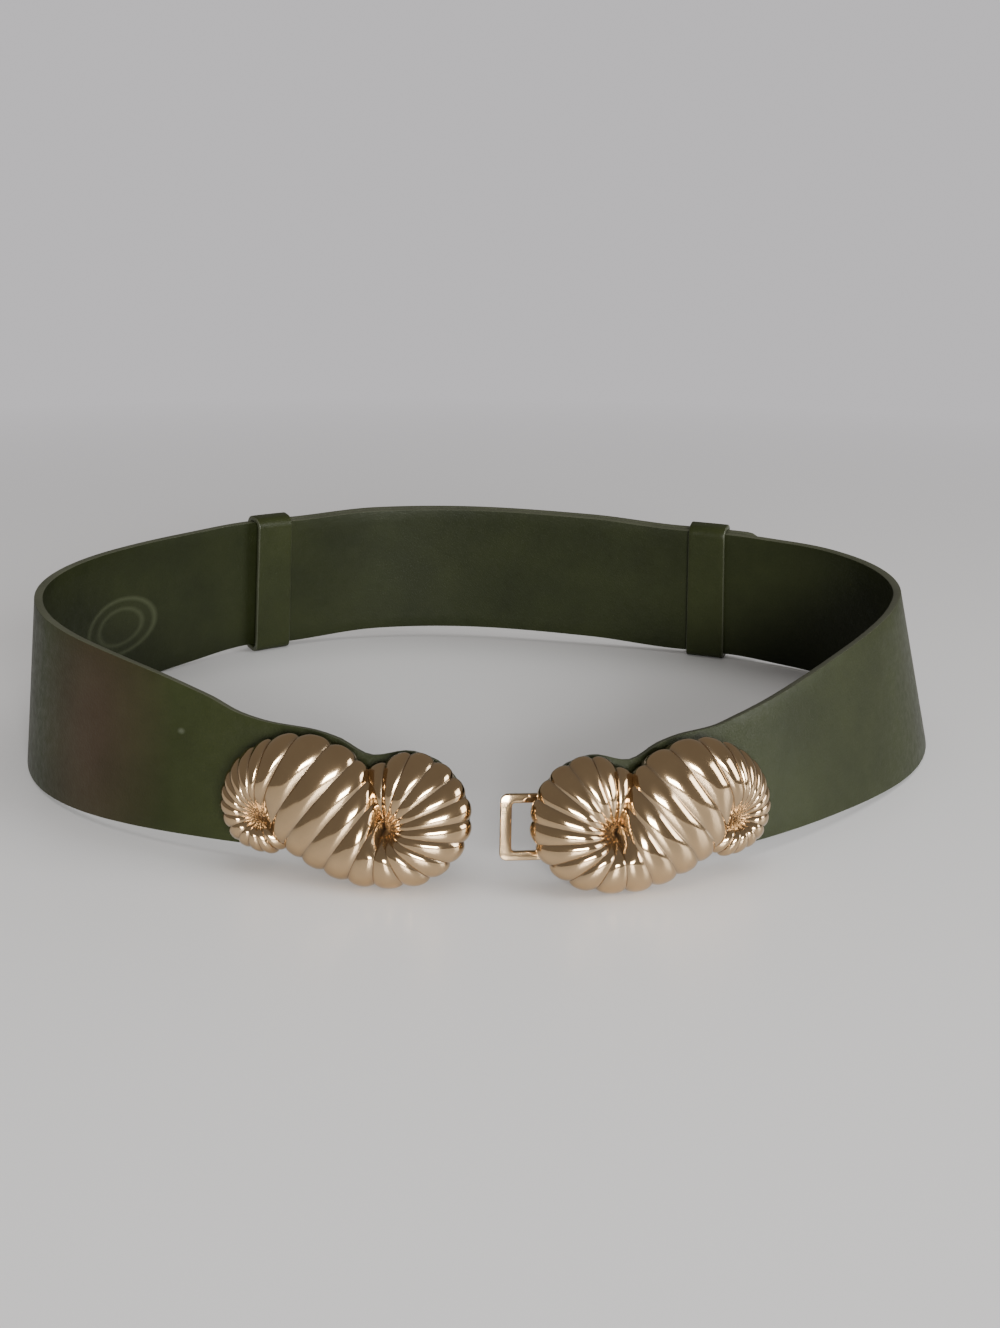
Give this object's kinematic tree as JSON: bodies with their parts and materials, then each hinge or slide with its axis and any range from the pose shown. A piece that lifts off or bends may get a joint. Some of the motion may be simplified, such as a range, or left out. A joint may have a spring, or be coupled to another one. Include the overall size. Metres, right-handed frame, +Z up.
{
  "type": "waist belt",
  "caption": "Wide leather waist belt standing as an open oval, with a fluted S-scroll ornament on each end, a loop and hook clasp, and slide keepers at the back.",
  "frame": {"origin": "on the ground under the middle of the belt", "axes": "+Z up, -Y towards the clasp, +X towards the right as the clasp is seen from the front"},
  "size_m": [0.2846, 0.2338, 0.0531],
  "materials": {
    "leather": "smooth semi-gloss dark olive green leather",
    "gold": "polished pale gold plating"
  },
  "bodies": {
    "root": {"strap_left": "leather", "strap_right": "leather", "keeper_left": "leather", "keeper_right": "leather", "ornament_left": "gold", "ornament_right": "gold", "catch_loop": "gold", "clasp_hook": "gold"}
  },
  "joints": []
}
